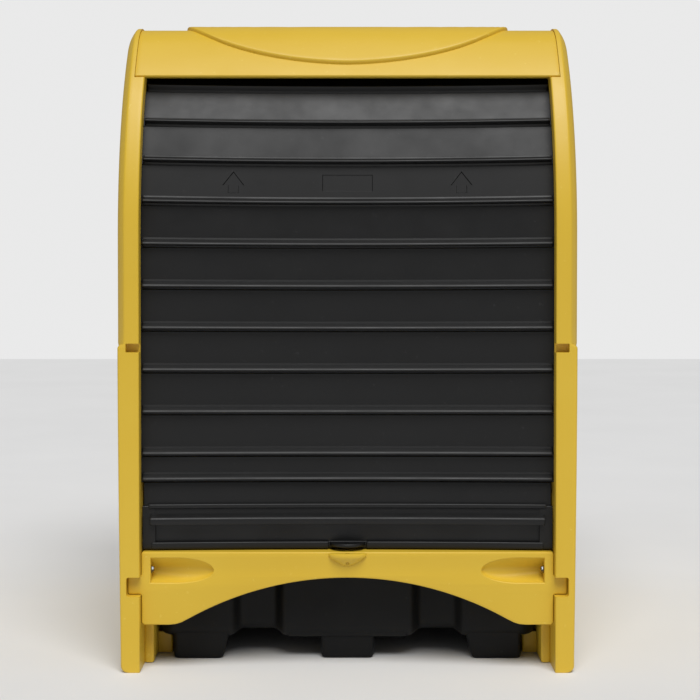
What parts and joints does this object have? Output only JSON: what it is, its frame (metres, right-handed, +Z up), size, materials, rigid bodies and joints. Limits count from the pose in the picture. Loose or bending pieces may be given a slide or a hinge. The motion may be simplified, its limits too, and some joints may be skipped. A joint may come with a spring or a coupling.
{
  "type": "hard-cover spill containment pallet",
  "caption": "Moulded spill pallet shelter: black sump pallet with gratings in a yellow shell, with a ribbed black roll-up door.",
  "frame": {"origin": "on the floor, under the middle of the outer box", "axes": "+X to the viewer's right seen from the door, +Y from the door toward the rear panel, +Z up"},
  "size_m": [1.498, 1.53, 2.1411],
  "materials": {
    "yellow_moulding": "satin rotomoulded polyethylene",
    "black_curtain": "satin moulded polyethylene",
    "black_pallet": "dull moulded polyethylene",
    "zinc_steel": "zinc plated"
  },
  "bodies": {
    "shell": {"sump_pallet": "black_pallet", "side_panel_left": "yellow_moulding", "side_panel_right": "yellow_moulding", "rear_panel": "yellow_moulding", "roof": "yellow_moulding", "front_skirt": "yellow_moulding", "lock_lug": "yellow_moulding", "skirt_bolt_left": "zinc_steel", "skirt_bolt_right": "zinc_steel", "rear_bolt_left_1": "zinc_steel", "rear_bolt_left_2": "zinc_steel", "rear_bolt_right_1": "zinc_steel", "rear_bolt_right_2": "zinc_steel", "roof_bolt_left_1": "zinc_steel", "roof_bolt_left_2": "zinc_steel", "roof_bolt_right_1": "zinc_steel", "roof_bolt_right_2": "zinc_steel"},
    "door_lift": {"door_bottom_panel": "black_curtain", "door_pull_bar": "black_curtain", "door_lock_tab": "black_curtain"},
    "slat_01": {"door_slat_01": "black_curtain"},
    "slat_02": {"door_slat_02": "black_curtain"},
    "slat_03": {"door_slat_03": "black_curtain"},
    "slat_04": {"door_slat_04": "black_curtain"},
    "slat_05": {"door_slat_05": "black_curtain"},
    "slat_06": {"door_slat_06": "black_curtain"},
    "slat_07": {"door_slat_07": "black_curtain"},
    "slat_08": {"door_slat_08": "black_curtain"},
    "slat_09": {"door_slat_09": "black_curtain"},
    "slat_10": {"door_slat_10": "black_curtain"},
    "slat_11": {"door_slat_11": "black_curtain"},
    "slat_12": {"door_slat_12": "black_curtain"},
    "slat_13": {"door_slat_13": "black_curtain"},
    "grating_left": {"grating_left": "black_pallet"},
    "grating_right": {"grating_right": "black_pallet"}
  },
  "joints": [
    {"name": "door_roll_up", "type": "hinge", "parent": "shell", "child": "door_lift", "pos_m": [0, 2.57704, 0.93579], "axis": [-1, 0, 0], "range_deg": [0, 21.65]},
    {"name": "slat_01_roll", "type": "hinge", "parent": "shell", "child": "slat_01", "pos_m": [0, 1.46864, 1.03534], "axis": [-1, 0, 0], "range_deg": [0, 32.61], "deforming": ["door_slat_01"]},
    {"name": "slat_02_roll", "type": "hinge", "parent": "shell", "child": "slat_02", "pos_m": [0, 0.68345, 1.13579], "axis": [-1, 0, 0], "range_deg": [0, 50.15], "deforming": ["door_slat_02"]},
    {"name": "slat_03_roll", "type": "hinge", "parent": "shell", "child": "slat_03", "pos_m": [0, 0.22814, 1.23731], "axis": [-1, 0, 0], "range_deg": [0, 72.57], "deforming": ["door_slat_03"]},
    {"name": "slat_04_roll", "type": "hinge", "parent": "shell", "child": "slat_04", "pos_m": [0, 0.04068, 1.30553], "axis": [-1, 0, 0], "range_deg": [0, 89.21], "deforming": ["door_slat_04"]},
    {"name": "slat_05_roll", "type": "hinge", "parent": "shell", "child": "slat_05", "pos_m": [0, 0.03334, 1.30966], "axis": [-1, 0, 0], "range_deg": [0, 90.1], "deforming": ["door_slat_05"]},
    {"name": "slat_06_roll", "type": "hinge", "parent": "shell", "child": "slat_06", "pos_m": [0, 0.03334, 1.30966], "axis": [-1, 0, 0], "range_deg": [0, 90.1], "deforming": ["door_slat_06"]},
    {"name": "slat_07_roll", "type": "hinge", "parent": "shell", "child": "slat_07", "pos_m": [0, 0.05098, 1.28839], "axis": [-1, 0, 0], "range_deg": [0, 87.14], "deforming": ["door_slat_07"]},
    {"name": "slat_08_roll", "type": "hinge", "parent": "shell", "child": "slat_08", "pos_m": [0, 0.0947, 1.21127], "axis": [-1, 0, 0], "range_deg": [0, 78.84], "deforming": ["door_slat_08"]},
    {"name": "slat_09_roll", "type": "hinge", "parent": "shell", "child": "slat_09", "pos_m": [0, 0.12218, 1.13849], "axis": [-1, 0, 0], "range_deg": [0, 72.81], "deforming": ["door_slat_09"]},
    {"name": "slat_10_roll", "type": "hinge", "parent": "shell", "child": "slat_10", "pos_m": [0, 0.06537, 1.38689], "axis": [-1, 0, 0], "range_deg": [0, 94.81], "deforming": ["door_slat_10"]},
    {"name": "slat_11_roll", "type": "hinge", "parent": "shell", "child": "slat_11", "pos_m": [0, 0.05604, 1.55699], "axis": [-1, 0, 0], "range_deg": [0, 115.31], "deforming": ["door_slat_11"]},
    {"name": "slat_12_roll", "type": "hinge", "parent": "shell", "child": "slat_12", "pos_m": [0, 0.05121, 1.52276], "axis": [-1, 0, 0], "range_deg": [0, 110.41], "deforming": ["door_slat_12"]},
    {"name": "slat_13_roll", "type": "hinge", "parent": "shell", "child": "slat_13", "pos_m": [0, 0.00474, 1.38764], "axis": [-1, 0, 0], "range_deg": [0, 91.94], "deforming": ["door_slat_13"]},
    {"name": "grating_left_lift", "type": "slide", "parent": "shell", "child": "grating_left", "axis": [0, 0, 1], "range_m": [0, 0.4]},
    {"name": "grating_right_lift", "type": "slide", "parent": "shell", "child": "grating_right", "axis": [0, 0, 1], "range_m": [0, 0.4]}
  ],
  "couplings": [
    {"joint": "slat_01_roll", "follows": "door_roll_up", "ratio": 1.5012},
    {"joint": "slat_02_roll", "follows": "door_roll_up", "ratio": 2.3111},
    {"joint": "slat_03_roll", "follows": "door_roll_up", "ratio": 3.3468},
    {"joint": "slat_04_roll", "follows": "door_roll_up", "ratio": 4.1152},
    {"joint": "slat_05_roll", "follows": "door_roll_up", "ratio": 4.1562},
    {"joint": "slat_06_roll", "follows": "door_roll_up", "ratio": 4.1562},
    {"joint": "slat_07_roll", "follows": "door_roll_up", "ratio": 4.0194},
    {"joint": "slat_08_roll", "follows": "door_roll_up", "ratio": 3.6363},
    {"joint": "slat_09_roll", "follows": "door_roll_up", "ratio": 3.3578},
    {"joint": "slat_10_roll", "follows": "door_roll_up", "ratio": 4.3736},
    {"joint": "slat_11_roll", "follows": "door_roll_up", "ratio": 5.3203},
    {"joint": "slat_12_roll", "follows": "door_roll_up", "ratio": 5.094},
    {"joint": "slat_13_roll", "follows": "door_roll_up", "ratio": 4.2413}
  ]
}
